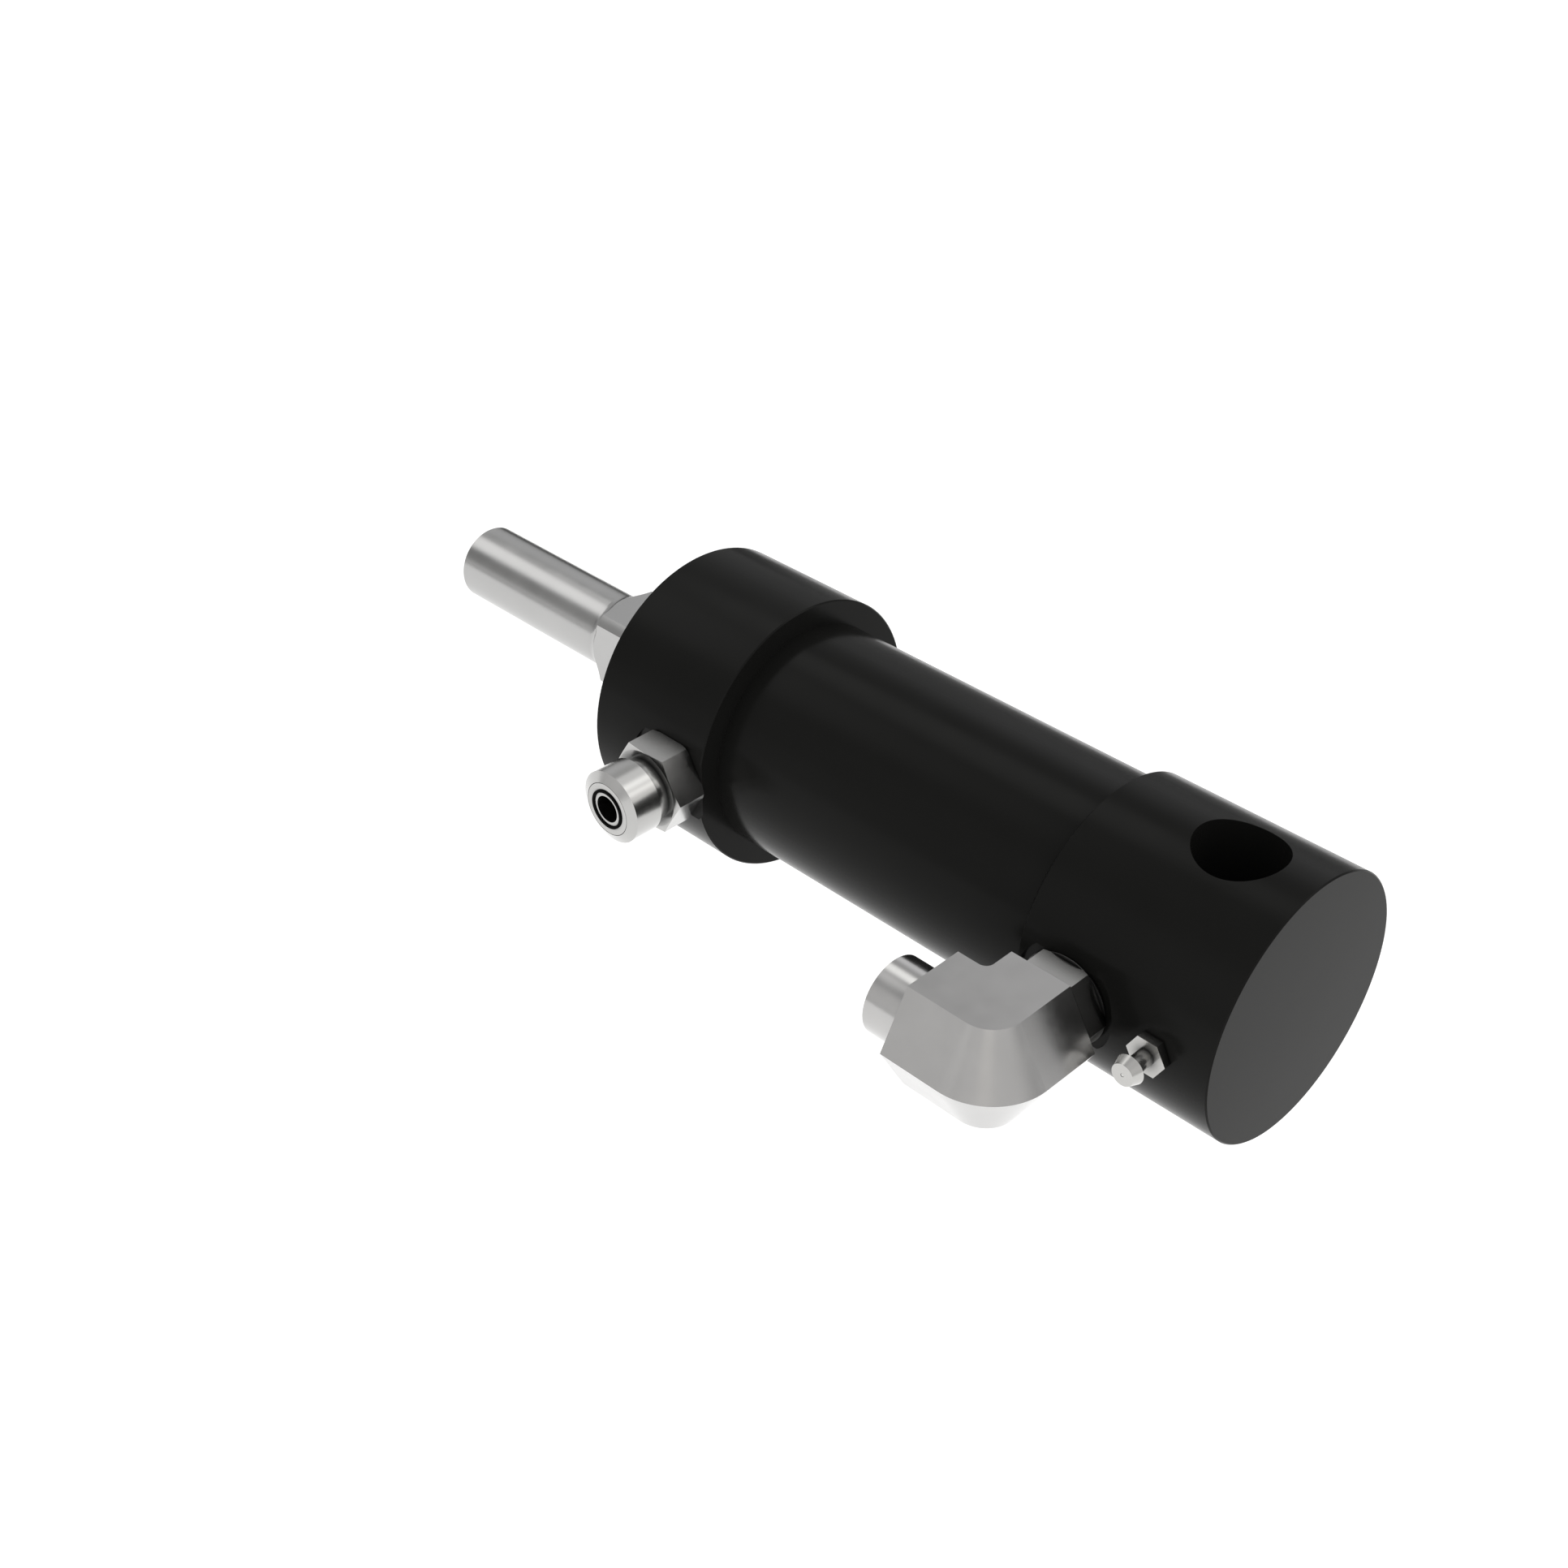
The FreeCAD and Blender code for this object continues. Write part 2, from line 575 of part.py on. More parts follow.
def port_o_ring(port_x, seat_distance):
    ring_r = STUD_UNDERCUT_R + FIT_GAP + PORT_O_RING_SECTION_R
    return port_torus(port_x, seat_distance - PORT_SEAT_DEPTH / 2, ring_r, PORT_O_RING_SECTION_R)


def face_seal_ring(axis_point, axis_direction):
    """Square-cut O-ring that stands slightly proud of a hose nose's face."""
    start = axis_point - axis_direction * (FACE_GROOVE_DEPTH - FIT_GAP)
    length = FACE_GROOVE_DEPTH - FIT_GAP + FACE_SEAL_PROUD
    outer = Part.makeCylinder(FACE_GROOVE_OUTER_R - FIT_GAP, length, start, axis_direction)
    inner = Part.makeCylinder(FACE_GROOVE_INNER_R + FIT_GAP, length, start, axis_direction)
    return outer.cut(inner)


def elbow_corner():
    """Hexagon turned about the crossing of the elbow's two axes, which rounds its outer corner."""
    half = ELBOW_ACROSS / 2
    side = ELBOW_ACROSS / ROOT3
    centre = FreeCAD.Vector(BASE_PORT_X, -ELBOW_AXIS, 0)
    outline = [(0, -half), (side / 2, -half), (side, 0), (side / 2, half), (0, half)]
    points = [centre + FreeCAD.Vector(radius, 0, height) for radius, height in outline]
    return face_of(points).revolve(centre, Z_AXIS, 360)


def elbow_arm_along_x():
    """Hexagonal arm that carries the hose nose and points towards the rod end."""
    centre = FreeCAD.Vector(BASE_PORT_X, -ELBOW_AXIS, 0)
    return hexagon(centre, ELBOW_ACROSS, PORT_AXIS).extrude(X_AXIS * -ELBOW_ARM)


def elbow_throat():
    """Fillet between the two arms, swept both ways along the slanting corner where they meet."""
    side = ELBOW_ACROSS / ROOT3
    corner = FreeCAD.Vector(BASE_PORT_X - side, -ELBOW_AXIS + side, 0)
    along_x = corner + FreeCAD.Vector(-ELBOW_THROAT_FILLET, 0, 0)
    along_y = corner + FreeCAD.Vector(0, ELBOW_THROAT_FILLET, 0)
    bow = ELBOW_THROAT_FILLET * (1 - math.sqrt(0.5))
    arc = Part.Arc(along_x, corner + FreeCAD.Vector(-bow, bow, 0), along_y).toShape()
    section = Part.Face(Part.Wire([Part.makeLine(corner, along_x), arc, Part.makeLine(along_y, corner)]))
    upper = section.extrude(FreeCAD.Vector(side / 2, -side / 2, ELBOW_ACROSS / 2))
    lower = section.extrude(FreeCAD.Vector(side / 2, -side / 2, -ELBOW_ACROSS / 2))
    limits_corner = FreeCAD.Vector(BASE_PORT_X - ELBOW_ARM, -ELBOW_AXIS, -ELBOW_ACROSS / 2)
    limits = Part.makeBox(ELBOW_ARM, ELBOW_ARM, ELBOW_ACROSS, limits_corner)
    return upper.fuse(lower).common(limits)


def elbow_nose():
    """Face-seal hose nose, turned about the elbow's outlet axis."""
    root_x = BASE_PORT_X - ELBOW_ARM
    outline = [(-ELBOW_ROOT_OVERLAP, 0), (-ELBOW_ROOT_OVERLAP, HOSE_THREAD_R)]
    outline += hose_nose(0, ELBOW_NOSE_LENGTH)
    outline += face_groove(ELBOW_NOSE_LENGTH)
    outline += [(ELBOW_NOSE_LENGTH, 0)]
    points = [FreeCAD.Vector(root_x - length, -ELBOW_AXIS + radius, 0) for length, radius in outline]
    return face_of(points).revolve(FreeCAD.Vector(root_x, -ELBOW_AXIS, 0), X_AXIS, 360)


def elbow():
    stud_end = BASE_PORT_FACE - STUD_LENGTH
    arm_end = ELBOW_AXIS - ELBOW_ARM
    thread_r = PORT_THREAD_R - FIT_GAP
    stud_outline = [
        (stud_end, 0),
        (stud_end, thread_r - STUD_END_BREAK),
        (stud_end + STUD_END_BREAK, thread_r),
        (BASE_PORT_FACE - PORT_SEAT_DEPTH, thread_r),
        (BASE_PORT_FACE - PORT_SEAT_DEPTH, STUD_UNDERCUT_R),
        (LOCKNUT_INNER, STUD_UNDERCUT_R),
        (LOCKNUT_INNER, thread_r),
        (arm_end + ELBOW_ROOT_OVERLAP, thread_r),
        (arm_end + ELBOW_ROOT_OVERLAP, 0),
    ]
    arms = elbow_corner().fuse(elbow_arm_along_x())
    arms = arms.fuse(port_hexagon(BASE_PORT_X, (arm_end, ELBOW_AXIS), ELBOW_ACROSS))
    arms = arms.fuse(elbow_throat()).removeSplitter()
    body = arms.fuse(elbow_nose()).fuse(turned_port(stud_outline, BASE_PORT_X))
    face_x = BASE_PORT_X - ELBOW_ARM - ELBOW_NOSE_LENGTH
    outlet_start = FreeCAD.Vector(face_x, -ELBOW_AXIS, 0)
    body = body.cut(Part.makeCylinder(HOSE_BORE_R, BASE_PORT_X - face_x, outlet_start, X_AXIS))
    body = body.cut(port_rod(BASE_PORT_X, (stud_end, ELBOW_AXIS), HOSE_BORE_R))
    return body.cut(Part.makeSphere(HOSE_BORE_R, FreeCAD.Vector(BASE_PORT_X, -ELBOW_AXIS, 0)))


def elbow_locknut():
    distances = (LOCKNUT_INNER, LOCKNUT_OUTER)
    nut = broken_hexagon(BASE_PORT_X, distances, LOCKNUT_ACROSS, LOCKNUT_CHAMFER)
    return nut.cut(port_rod(BASE_PORT_X, distances, PORT_THREAD_R))


def elbow_backup_washer():
    """Washer with a bevelled back, so that only its outward face shows a full rim."""
    start = BASE_PORT_FACE + FIT_GAP
    end = LOCKNUT_INNER - FIT_GAP
    inner_r = STUD_UNDERCUT_R + FIT_GAP
    outline = [
        (start, inner_r),
        (end, inner_r),
        (end, BACKUP_WASHER_R),
        (end - BACKUP_WASHER_RIM, BACKUP_WASHER_R),
        (start, BACKUP_WASHER_BACK_R),
    ]
    return turned_port(outline, BASE_PORT_X)


def elbow_face_seal():
    face_x = BASE_PORT_X - ELBOW_ARM - ELBOW_NOSE_LENGTH
    return face_seal_ring(FreeCAD.Vector(face_x, -ELBOW_AXIS, 0), X_AXIS * -1)


def grease_fitting():
    thread_r = GREASE_THREAD_R - FIT_GAP
    stud_end = GREASE_SEAT - GREASE_THREAD_LENGTH
    ball_seat = GREASE_TIP - GREASE_MOUTH_LAND
    outline = [
        (stud_end, 0),
        (stud_end, thread_r - GREASE_STUD_BREAK),
        (stud_end + GREASE_STUD_BREAK, thread_r),
        (GREASE_SEAT, thread_r),
        (GREASE_SEAT, GREASE_NECK_R),
        (GREASE_NECK_OUTER, GREASE_NECK_R),
        (GREASE_HEAD_WIDE, GREASE_HEAD_R),
        (GREASE_TIP, GREASE_TIP_R),
        (GREASE_TIP, 0),
    ]
    body = turned_port(outline, GREASE_X)
    body = body.fuse(port_hexagon(GREASE_X, (GREASE_SEAT, GREASE_HEX_OUTER), GREASE_HEX_ACROSS))
    chamber = [
        (GREASE_SPRING_SEAT, 0),
        (GREASE_SPRING_SEAT, GREASE_BORE_R),
        (ball_seat - GREASE_SEAT_DEPTH, GREASE_BORE_R),
        (ball_seat, GREASE_MOUTH_R),
        (GREASE_TIP, GREASE_MOUTH_R),
        (GREASE_TIP, 0),
    ]
    body = body.cut(turned_port(chamber, GREASE_X))
    return body.cut(port_rod(GREASE_X, (stud_end, GREASE_SPRING_SEAT), GREASE_FEED_R))


def grease_check_ball():
    return Part.makeSphere(GREASE_BALL_R, FreeCAD.Vector(GREASE_X, -GREASE_BALL_CENTRE, 0))


def grease_check_spring():
    coil_r = GREASE_BORE_R - GREASE_SPRING_WIRE_R - GREASE_SPRING_SIDE_GAP
    start = GREASE_SPRING_SEAT + GREASE_SPRING_WIRE_R + GREASE_SPRING_BOTTOM_GAP
    height = GREASE_BALL_CENTRE - GREASE_BALL_R - GREASE_SPRING_TOP_GAP - start
    helix = Part.makeHelix(GREASE_SPRING_PITCH, height, coil_r)
    wire_start = FreeCAD.Vector(coil_r, 0, 0)
    section = Part.Wire(Part.makeCircle(GREASE_SPRING_WIRE_R, wire_start, FreeCAD.Vector(0, 1, 0)))
    spring = Part.Wire(helix).makePipeShell([section], True, True)
    spring.rotate(ORIGIN, X_AXIS, 90)
    spring.translate(FreeCAD.Vector(GREASE_X, -start, 0))
    return spring


NODES = {
    "barrel_tube": barrel_tube(),
    "base_cap": base_cap(),
    "base_weld": base_weld(),
    "head_collar": head_collar(),
    "rod_guide": rod_guide(),
    "guide_o_ring": guide_o_ring(),
    "guide_backup_ring": guide_backup_ring(),
    "rod_wiper": rod_wiper(),
    "rod_seal": rod_seal(),
    "rod_bearing": rod_bearing(),
    "piston_rod": piston_rod(),
    "piston": piston(),
    "piston_wear_bands": piston_wear_bands(),
    "piston_seal": piston_seal(),
    "piston_seal_energizer": piston_seal_energizer(),
    "piston_bore_o_ring": piston_bore_o_ring(),
    "piston_nut": piston_nut(),
    "straight_adapter": straight_adapter(),
    "adapter_port_o_ring": port_o_ring(HEAD_PORT_X, HEAD_PORT_FACE),
    "adapter_face_seal": face_seal_ring(FreeCAD.Vector(HEAD_PORT_X, -ADAPTER_FACE, 0), PORT_AXIS),
    "elbow": elbow(),
    "elbow_locknut": elbow_locknut(),
    "elbow_backup_washer": elbow_backup_washer(),
    "elbow_port_o_ring": port_o_ring(BASE_PORT_X, BASE_PORT_FACE),
    "elbow_face_seal": elbow_face_seal(),
    "grease_fitting": grease_fitting(),
    "grease_check_ball": grease_check_ball(),
    "grease_check_spring": grease_check_spring(),
}

os.makedirs("parts", exist_ok=True)
for name, shape in NODES.items():
    shape.exportStep(f"parts/{name}.step")
    print(f"{name}: {len(shape.Solids)} solid(s), valid {shape.isValid()}, {shape.Volume:.1f} mm3")
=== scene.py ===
import math

import bmesh
import bpy
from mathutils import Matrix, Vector


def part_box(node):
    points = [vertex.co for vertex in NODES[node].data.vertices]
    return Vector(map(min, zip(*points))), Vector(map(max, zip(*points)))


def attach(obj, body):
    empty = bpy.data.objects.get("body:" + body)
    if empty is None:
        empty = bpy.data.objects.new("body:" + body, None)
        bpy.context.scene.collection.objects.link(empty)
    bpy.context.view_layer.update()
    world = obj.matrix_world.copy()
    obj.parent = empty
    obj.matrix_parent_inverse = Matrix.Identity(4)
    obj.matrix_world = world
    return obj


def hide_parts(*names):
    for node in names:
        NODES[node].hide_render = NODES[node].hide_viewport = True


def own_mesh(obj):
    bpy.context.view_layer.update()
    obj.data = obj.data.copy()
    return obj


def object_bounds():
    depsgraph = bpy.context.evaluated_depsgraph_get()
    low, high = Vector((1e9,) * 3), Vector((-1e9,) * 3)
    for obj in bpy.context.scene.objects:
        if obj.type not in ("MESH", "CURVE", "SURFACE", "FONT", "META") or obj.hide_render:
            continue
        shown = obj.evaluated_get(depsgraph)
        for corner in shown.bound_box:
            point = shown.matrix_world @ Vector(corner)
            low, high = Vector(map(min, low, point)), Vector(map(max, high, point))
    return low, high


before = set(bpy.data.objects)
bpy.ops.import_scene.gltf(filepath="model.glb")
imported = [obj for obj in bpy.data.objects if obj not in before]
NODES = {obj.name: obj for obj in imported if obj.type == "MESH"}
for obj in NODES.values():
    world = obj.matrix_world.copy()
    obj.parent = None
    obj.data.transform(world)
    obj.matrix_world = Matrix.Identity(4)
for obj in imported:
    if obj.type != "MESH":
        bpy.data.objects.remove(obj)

CAD_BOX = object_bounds()

# Camera, in metres in the part's own frame: an isometric direction with a long lens
AIM = Vector((-0.1240, 0.0, -0.0172))
CAMERA_DISTANCE = 0.5133
CAMERA_AZIMUTH = math.radians(45.0)
CAMERA_ELEVATION = math.atan(math.sqrt(0.5))
LENS_MM = 49.653
SENSOR_MM = 36.0

# Check spring of the grease fitting: sizes in metres, and steps of its mesh
SPRING_WIRE_R = 0.00018
SPRING_PITCH = 0.0008
SPRING_STEPS_A_TURN = 32
SPRING_WIRE_SIDES = 10

# Weld bead: steps of its mesh
BEAD_AROUND = 720
BEAD_ACROSS = 10
# Ripples and their wandering: counts round the tube, and the wander in radians
BEAD_RIPPLES = 96
BEAD_WANDERS = 7
BEAD_WANDER = 0.8
# Shares of the weld's leg
BEAD_REACH = 0.97
BEAD_REACH_RIPPLE = 0.02
BEAD_BULGE = 0.03
BEAD_DRIFT = 0.03
# Share of the bulge that goes forwards and outwards
BEAD_PUSH = 0.7
# Turn of the drift from edge to edge, in radians
BEAD_DRIFT_PHASE = 2.0
# How far the bead's root lies below the tube's skin, in metres
BEAD_ROOT_DEPTH = 0.0001

# Stage
FLOOR_DROP = 1.20
FLOOR_SIZE = 80.0
FLOOR_WHITE = 0.82
FLOOR_GLOW = 0.46
MATT = 0.9
FLAG_DISTANCE = 5.3
# Height angle of the flags' top edge, in degrees
FLAG_TOP = 5
# Grey flags: name, azimuth and half width in degrees, grey
FLAGS = (("flag_dark", 146, 18, 0.10), ("flag_mid", 116, 12, 0.36))


def add_camera():
    data = bpy.data.cameras.new("camera")
    data.sensor_width = SENSOR_MM
    data.lens = LENS_MM
    data.clip_start = 0.01
    data.clip_end = 50.0
    camera = bpy.data.objects.new("camera", data)
    bpy.context.collection.objects.link(camera)
    flat = math.cos(CAMERA_ELEVATION)
    back = Vector((
        math.sin(CAMERA_AZIMUTH) * flat,
        -math.cos(CAMERA_AZIMUTH) * flat,
        math.sin(CAMERA_ELEVATION),
    ))
    camera.location = AIM + back * CAMERA_DISTANCE
    camera.rotation_mode = "QUATERNION"
    camera.rotation_quaternion = (-back).to_track_quat("-Z", "Y")
    bpy.context.scene.camera = camera


# ---------------------------------------------------------------- materials

# Painted shade in crevices: samples, and the open share of the sky at full and at no painted shade
CREVICE_SAMPLES = 8
CREVICE_SHADED = 0.5
CREVICE_OPEN = 0.97
# How far the noise of turned metal is drawn out along its rings
RING_STRETCH = 0.012
PLATING_SEAL = 0.9
PLATING_SEAL_ROUGHNESS = 0.18


class Surface:
    """A Principled material, varied by noise in the object's own coordinates, in metres."""

    def __init__(self, name, colour, roughness, metallic=0.0):
        self.material = bpy.data.materials.new(name)
        self.material.use_nodes = True
        self.tree = self.material.node_tree
        self.shader = self.tree.nodes["Principled BSDF"]
        self.shader.inputs["Base Color"].default_value = (*colour, 1.0)
        self.shader.inputs["Roughness"].default_value = roughness
        self.shader.inputs["Metallic"].default_value = metallic
        self.place = self.tree.nodes.new("ShaderNodeTexCoord")

    def link(self, output, socket):
        self.tree.links.new(output, socket)

    def noise(self, scale, detail=3.0, stretch=(1.0, 1.0, 1.0), roughness=0.5):
        """Noise value from 0 to 1, with features about 1 / scale metres across."""
        mapping = self.tree.nodes.new("ShaderNodeMapping")
        mapping.inputs["Scale"].default_value = stretch
        self.link(self.place.outputs["Object"], mapping.inputs["Vector"])
        noise = self.tree.nodes.new("ShaderNodeTexNoise")
        noise.inputs["Scale"].default_value = scale
        noise.inputs["Detail"].default_value = detail
        noise.inputs["Roughness"].default_value = roughness
        self.link(mapping.outputs["Vector"], noise.inputs["Vector"])
        return noise.outputs["Fac"]

    def spread(self, value, low, high, start=0.3, end=0.7):
        """Maps a noise value onto the range low to high."""
        ramp = self.tree.nodes.new("ShaderNodeMapRange")
        ramp.inputs["From Min"].default_value = start
        ramp.inputs["From Max"].default_value = end
        ramp.inputs["To Min"].default_value = low
        ramp.inputs["To Max"].default_value = high
        self.link(value, ramp.inputs["Value"])
        return ramp.outputs["Result"]

    def vary_roughness(self, value, low, high):
        self.link(self.spread(value, low, high), self.shader.inputs["Roughness"])

    def vary_colour(self, value, dark, light):
        mix = self.tree.nodes.new("ShaderNodeMix")
        mix.data_type = "RGBA"
        mix.inputs[6].default_value = (*dark, 1.0)
        mix.inputs[7].default_value = (*light, 1.0)
        self.link(self.spread(value, 0.0, 1.0), mix.inputs[0])
        self.link(mix.outputs[2], self.shader.inputs["Base Color"])

    def paint_crevice_shade(self, reach, darkest):
        """Paints shade into the colour in crevices within that reach in metres, from ambient
        occlusion.
        """
        shade = self.tree.nodes.new("ShaderNodeAmbientOcclusion")
        shade.samples = CREVICE_SAMPLES
        shade.inputs["Distance"].default_value = reach
        level = self.spread(shade.outputs["AO"], darkest, 1.0, CREVICE_SHADED, CREVICE_OPEN)
        scale = self.tree.nodes.new("ShaderNodeVectorMath")
        scale.operation = "SCALE"
        colour = self.shader.inputs["Base Color"]
        self.link(colour.links[0].from_socket, scale.inputs[0])
        self.link(level, scale.inputs["Scale"])
        self.link(scale.outputs["Vector"], colour)

    def bump(self, value, depth):
        """Adds relief of that depth in metres on top of any relief already there."""
        bump = self.tree.nodes.new("ShaderNodeBump")
        bump.inputs["Distance"].default_value = depth
        bump.inputs["Strength"].default_value = 1.0
        self.link(value, bump.inputs["Height"])
        normal = self.shader.inputs["Normal"]
        if normal.is_linked:
            self.link(normal.links[0].from_socket, bump.inputs["Normal"])
        self.link(bump.outputs["Normal"], normal)


def dress(node, surface):
    """Gives a CAD node its finished material."""
    mesh = NODES[node].data
    mesh.materials.clear()
    mesh.materials.append(surface.material)


def tinted(colour, share):
    """The colour with every channel at that share."""
    return tuple(share * channel for channel in colour)


def enamel(name):
    """Gloss black enamel: near-black, with faint orange peel and a slightly uneven gloss."""
    paint = Surface(name, (0.0100, 0.0100, 0.0094), 0.20)
    paint.shader.inputs["IOR"].default_value = 1.15
    paint.vary_roughness(paint.noise(70.0, 4.0), 0.17, 0.23)
    paint.vary_colour(paint.noise(45.0, 5.0), (0.0094, 0.0094, 0.0088), (0.0106, 0.0106, 0.0100))
    paint.bump(paint.noise(900.0, 2.0), 0.0000022)
    return paint


def turned_metal(name, axis, colour, roughness, line_depth=0.0000006):
    """Bright metal turned on a lathe: fine rings across the axis ("X" or "Y")."""
    metal = Surface(name, colour, roughness, 1.0)
    along_x = (1.0, RING_STRETCH, RING_STRETCH)
    along_y = (RING_STRETCH, 1.0, RING_STRETCH)
    stretch = along_x if axis == "X" else along_y
    rings = metal.noise(5200.0, 3.0, stretch, 0.65)
    cloud = metal.noise(120.0, 4.0)
    metal.vary_roughness(cloud, roughness - 0.03, roughness + 0.03)
    metal.vary_colour(metal.noise(60.0, 4.0), tinted(colour, 0.96), tinted(colour, 1.03))
    metal.bump(rings, line_depth)
    # Painted shade: the colour darkens to 7 % in crevices within 3.5 mm
    metal.paint_crevice_shade(0.0035, 0.07)
    return metal


def forged_metal(name, colour, roughness):
    """Plated forging: a barely uneven skin with small plating clouds."""
    metal = Surface(name, colour, roughness, 1.0)
    metal.vary_roughness(metal.noise(160.0, 5.0), roughness - 0.04, roughness + 0.04)
    metal.vary_colour(metal.noise(90.0, 4.0), tinted(colour, 0.95), tinted(colour, 1.04))
    metal.bump(metal.noise(420.0, 3.0), 0.0000012)
    # Painted shade: the colour darkens to 45 % in crevices within 3 mm
    metal.paint_crevice_shade(0.0030, 0.45)
    return metal


def plated(metal):
    """Adds the thin clear seal of a passivated plating, which brightens glancing reflections."""
    metal.shader.inputs["Coat Weight"].default_value = PLATING_SEAL
    metal.shader.inputs["Coat Roughness"].default_value = PLATING_SEAL_ROUGHNESS
    return metal


def moulded(name, colour, roughness, ior=1.5):
    """Rubber or plastic ring: matt, with a fine moulded grain."""
    ring = Surface(name, colour, roughness)
    ring.shader.inputs["IOR"].default_value = ior
    ring.vary_roughness(ring.noise(700.0, 3.0), roughness - 0.06, roughness + 0.06)
    ring.vary_colour(ring.noise(500.0, 3.0), tinted(colour, 0.85), tinted(colour, 1.15))
    ring.bump(ring.noise(5000.0, 2.0), 0.000002)
    return ring


def dress_cad_nodes():
    for node in ("barrel_tube", "base_cap", "head_collar"):
        dress(node, enamel(node + "_enamel"))
    zinc = (0.475, 0.472, 0.463)
    dress("piston_rod", turned_metal("rod_chrome", "X", (0.470, 0.468, 0.464), 0.21))
    dress("straight_adapter", plated(turned_metal("adapter_plating", "Y", zinc, 0.20)))
    dress("elbow", plated(forged_metal("elbow_plating", (0.479, 0.474, 0.468), 0.20)))
    dress("elbow_locknut", plated(turned_metal("locknut_plating", "Y", zinc, 0.24)))
    dress("elbow_backup_washer", turned_metal("washer_plating", "Y", (0.25, 0.248, 0.243), 0.42))
    grease_plating = turned_metal("grease_fitting_plating", "Y", (0.52, 0.515, 0.50), 0.22)
    dress("grease_fitting", plated(grease_plating))
    dress("grease_check_ball", forged_metal("check_ball_steel", (0.62, 0.615, 0.60), 0.18))
    dress("rod_guide", turned_metal("rod_guide_steel", "X", (0.20, 0.20, 0.205), 0.32, 0.0000012))
    dress("piston", turned_metal("piston_iron", "X", (0.26, 0.255, 0.25), 0.38, 0.0000015))
    dress("piston_nut", turned_metal("piston_nut_plating", "X", (0.50, 0.495, 0.46), 0.30))
    black = (0.004, 0.004, 0.004)
    for node in (
        "guide_o_ring", "piston_seal_energizer", "piston_bore_o_ring", "adapter_port_o_ring",
        "adapter_face_seal", "elbow_port_o_ring", "elbow_face_seal",
    ):
        dress(node, moulded(node + "_nitrile", black, 0.42, 1.05))
    dress("rod_wiper", moulded("wiper_urethane", (0.03, 0.07, 0.14), 0.38))
    dress("rod_seal", moulded("rod_seal_urethane", (0.05, 0.12, 0.06), 0.38))
    dress("guide_backup_ring", moulded("backup_ring_nylon", (0.62, 0.58, 0.48), 0.45))
    dress("rod_bearing", moulded("bearing_phenolic", (0.16, 0.08, 0.04), 0.5))
    dress("piston_wear_bands", moulded("wear_band_phenolic", (0.16, 0.08, 0.04), 0.5))
    dress("piston_seal", moulded("piston_seal_bronze_filled", (0.28, 0.17, 0.07), 0.4))


# ------------------------------------------------------------- extra pieces


def object_from(name, build):
    mesh = bmesh.new()
    build(mesh)
    bmesh.ops.recalc_face_normals(mesh, faces=mesh.faces)
    data = bpy.data.meshes.new(name)
    mesh.to_mesh(data)
    mesh.free()
    for polygon in data.polygons:
        polygon.use_smooth = True
    piece = bpy.data.objects.new(name, data)
    bpy.context.collection.objects.link(piece)
    return piece


def weld_bead():
    """Finely rippled fillet weld round the tube, in front of the base cap."""
    low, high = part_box("base_weld")
    tube_low, tube_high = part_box("barrel_tube")
    tube_r = (tube_high.z - tube_low.z) / 2
    leg = high.x - low.x
    root_r = tube_r - BEAD_ROOT_DEPTH

    def build(mesh):
        loops = []
        for i in range(BEAD_AROUND):
            turn = 2 * math.pi * i / BEAD_AROUND
            wave = math.sin(BEAD_RIPPLES * turn + BEAD_WANDER * math.sin(BEAD_WANDERS * turn))
            loop = []
            for j in range(BEAD_ACROSS + 1):
                t = j / BEAD_ACROSS
                crown = math.sin(math.pi * t)
                reach = leg * (BEAD_REACH + BEAD_REACH_RIPPLE * wave * crown)
                x = high.x - reach * t
                r = tube_r + reach * (1 - t)
                bulge = leg * crown * (BEAD_BULGE + BEAD_BULGE * wave)
                drift = BEAD_DRIFT * leg * math.sin(BEAD_RIPPLES * turn + BEAD_DRIFT_PHASE * t)
                x = max(x - bulge * BEAD_PUSH + drift * crown, low.x)
                r = min(r + bulge * BEAD_PUSH, tube_r + leg)
                loop.append(mesh.verts.new((x, r * math.cos(turn), r * math.sin(turn))))
            loop.append(mesh.verts.new((high.x, root_r * math.cos(turn), root_r * math.sin(turn))))
            loops.append(loop)
        size = len(loops[0])
        for i in range(BEAD_AROUND):
            here, there = loops[i], loops[(i + 1) % BEAD_AROUND]
            for j in range(size):
                k = (j + 1) % size
                mesh.faces.new((here[j], here[k], there[k], there[j]))

    bead = object_from("weld_bead", build)
    bead.data.materials.append(enamel("weld_bead_enamel").material)
    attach(bead, "barrel")
    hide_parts("base_weld")


